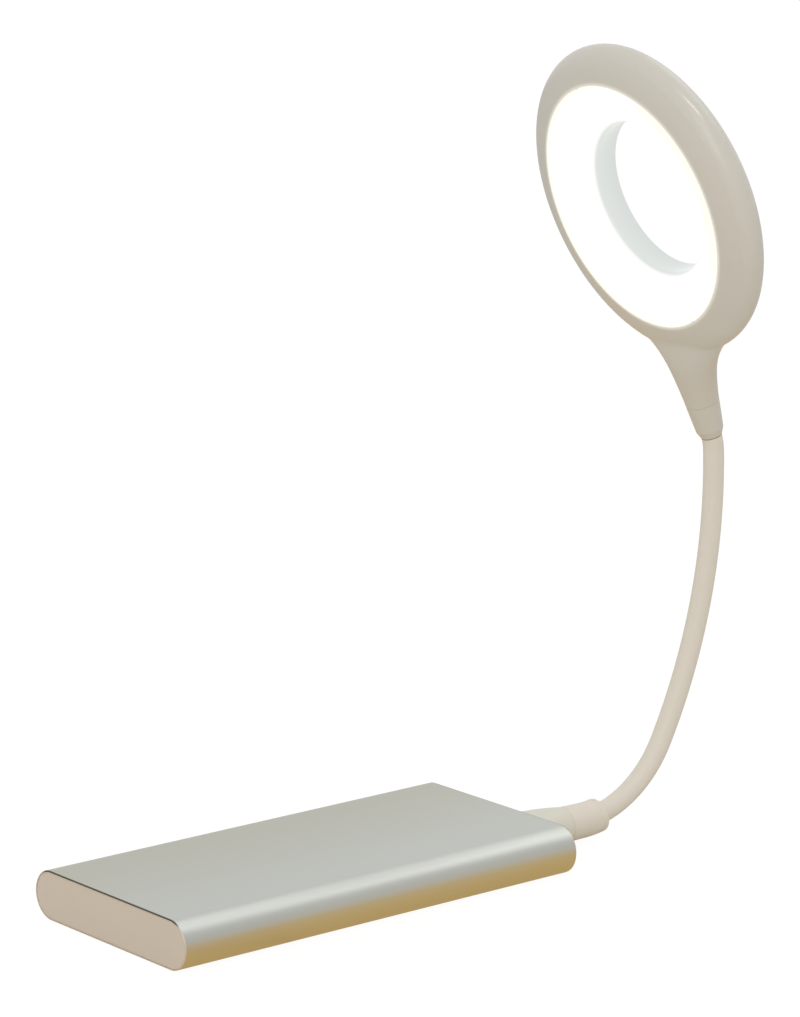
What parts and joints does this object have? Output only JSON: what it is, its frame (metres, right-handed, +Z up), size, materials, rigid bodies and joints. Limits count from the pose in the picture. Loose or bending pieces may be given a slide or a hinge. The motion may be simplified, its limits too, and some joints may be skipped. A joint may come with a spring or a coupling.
{
  "type": "plug-in ring lamp with battery pack",
  "caption": "Lit ring lamp on a bendable gooseneck, plugged into the end of a slim round-edged battery pack that is its foot",
  "frame": {"origin": "centre of the battery pack's underside", "axes": "+X along the pack towards its socket end and the lamp, +Y to the lamp's far side, +Z up"},
  "size_m": [0.2309, 0.1009, 0.2469],
  "materials": {
    "shell_aluminium": "bead-blasted satin anodised",
    "cap_plastic": "fine matt moulded",
    "inner_plastic": "matt black",
    "cell_foil": "dull pouch foil",
    "pad_foam": "soft foam",
    "tab_nickel": "plain nickel strip",
    "board_resin": "lacquered board",
    "component_dark": "matt",
    "screw_steel": "plain steel",
    "socket_steel": "bright plated sheet",
    "socket_plastic": "fine moulded white",
    "contact_gold": "thin gold plating",
    "charge_light_lens": "clear moulded",
    "lamp_plastic": "satin warm white",
    "plug_plastic": "satin moulded warm white",
    "neck_skin": "soft silicone, satin",
    "core_wire": "drawn soft wire",
    "lead_cover": "smooth insulation",
    "opal_diffuser": "opal, lit from behind",
    "light_board_white": "white lacquer",
    "light_chip_phosphor": "phosphor"
  },
  "bodies": {
    "pack": {"pack_shell": "shell_aluminium", "blank_end_cap": "cap_plastic", "port_end_cap": "cap_plastic", "cell_tray": "inner_plastic", "lower_cell": "cell_foil", "upper_cell": "cell_foil", "cell_foam": "pad_foam", "cell_tabs": "tab_nickel", "power_board": "board_resin", "board_components": "component_dark", "board_screws": "screw_steel", "output_socket_shell_near": "socket_steel", "output_socket_tongue_near": "socket_plastic", "output_socket_contacts_near": "contact_gold", "output_socket_shell_far": "socket_steel", "output_socket_tongue_far": "socket_plastic", "output_socket_contacts_far": "contact_gold", "charge_socket_shell": "socket_steel", "charge_socket_tongue": "socket_plastic", "button_switch": "inner_plastic", "charge_lights": "charge_light_lens", "light_guides": "charge_light_lens"},
    "button": {"pack_button": "cap_plastic", "switch_stem": "inner_plastic"},
    "lamp_plug": {"plug_shell": "socket_steel", "plug_tongue": "socket_plastic", "plug_contacts": "contact_gold", "plug_housing_upper": "plug_plastic", "plug_housing_lower": "plug_plastic", "plug_board": "board_resin", "plug_leads": "lead_cover", "lower_anchor": "screw_steel", "lower_collar": "neck_skin", "neck_core_0": "core_wire", "neck_sleeve": "neck_skin", "neck_wires": "lead_cover"},
    "neck_link_1": {"neck_core_1": "core_wire"},
    "neck_link_2": {"neck_core_2": "core_wire"},
    "neck_link_3": {"neck_core_3": "core_wire"},
    "neck_link_4": {"neck_core_4": "core_wire"},
    "neck_link_5": {"neck_core_5": "core_wire"},
    "neck_link_6": {"neck_core_6": "core_wire"},
    "neck_link_7": {"neck_core_7": "core_wire"},
    "neck_link_8": {"neck_core_8": "core_wire"},
    "head": {"neck_core_9": "core_wire", "upper_collar": "lamp_plastic", "upper_anchor": "screw_steel", "head_shell": "lamp_plastic", "diffuser_ring": "opal_diffuser", "light_board": "light_board_white", "light_chips": "light_chip_phosphor", "light_resistors": "component_dark", "light_board_screws": "screw_steel", "head_leads": "lead_cover"}
  },
  "joints": [
    {"name": "button_press", "type": "slide", "parent": "pack", "child": "button", "axis": [-1, 0, 0], "range_m": [0, 0.0005], "stiffness_N_per_m": 2500, "springref_m": -0.0002},
    {"name": "lamp_unplug", "type": "slide", "parent": "pack", "child": "lamp_plug", "axis": [1, 0, 0], "range_m": [0, 0.018]},
    {"name": "neck_bend_1", "type": "hinge", "parent": "lamp_plug", "child": "neck_link_1", "pos_m": [0.11391, -0.01015, 0.00974], "axis": [0, -1, 0], "range_deg": [-16, 15], "deforming": ["neck_sleeve", "neck_wires"]},
    {"name": "neck_sway_2", "type": "hinge", "parent": "neck_link_1", "child": "neck_link_2", "pos_m": [0.12615, -0.01015, 0.01781], "axis": [-0.7013, 0, 0.7129], "range_deg": [-15, 15], "deforming": ["neck_sleeve", "neck_wires"]},
    {"name": "neck_bend_3", "type": "hinge", "parent": "neck_link_2", "child": "neck_link_3", "pos_m": [0.13453, -0.01015, 0.02986], "axis": [0, -1, 0], "range_deg": [-16, 15], "deforming": ["neck_sleeve", "neck_wires"]},
    {"name": "neck_sway_4", "type": "hinge", "parent": "neck_link_3", "child": "neck_link_4", "pos_m": [0.14075, -0.01015, 0.04323], "axis": [-0.9237, 0, 0.3831], "range_deg": [-15, 15], "deforming": ["neck_sleeve", "neck_wires"]},
    {"name": "neck_bend_5", "type": "hinge", "parent": "neck_link_4", "child": "neck_link_5", "pos_m": [0.14582, -0.01015, 0.05708], "axis": [0, -1, 0], "range_deg": [-16, 15], "deforming": ["neck_sleeve", "neck_wires"]},
    {"name": "neck_sway_6", "type": "hinge", "parent": "neck_link_5", "child": "neck_link_6", "pos_m": [0.14971, -0.01015, 0.07131], "axis": [-0.9749, 0, 0.2226], "range_deg": [-15, 15], "deforming": ["neck_sleeve", "neck_wires"]},
    {"name": "neck_bend_7", "type": "hinge", "parent": "neck_link_6", "child": "neck_link_7", "pos_m": [0.15238, -0.01015, 0.08582], "axis": [0, -1, 0], "range_deg": [-16, 15], "deforming": ["neck_sleeve", "neck_wires"]},
    {"name": "neck_sway_8", "type": "hinge", "parent": "neck_link_7", "child": "neck_link_8", "pos_m": [0.15383, -0.01015, 0.1005], "axis": [-0.9984, 0, 0.0558], "range_deg": [-15, 15], "deforming": ["neck_sleeve", "neck_wires"]},
    {"name": "neck_bend_9", "type": "hinge", "parent": "neck_link_8", "child": "head", "pos_m": [0.15403, -0.01015, 0.11525], "axis": [0, -1, 0], "range_deg": [-16, 15], "deforming": ["neck_sleeve", "neck_wires"]}
  ]
}
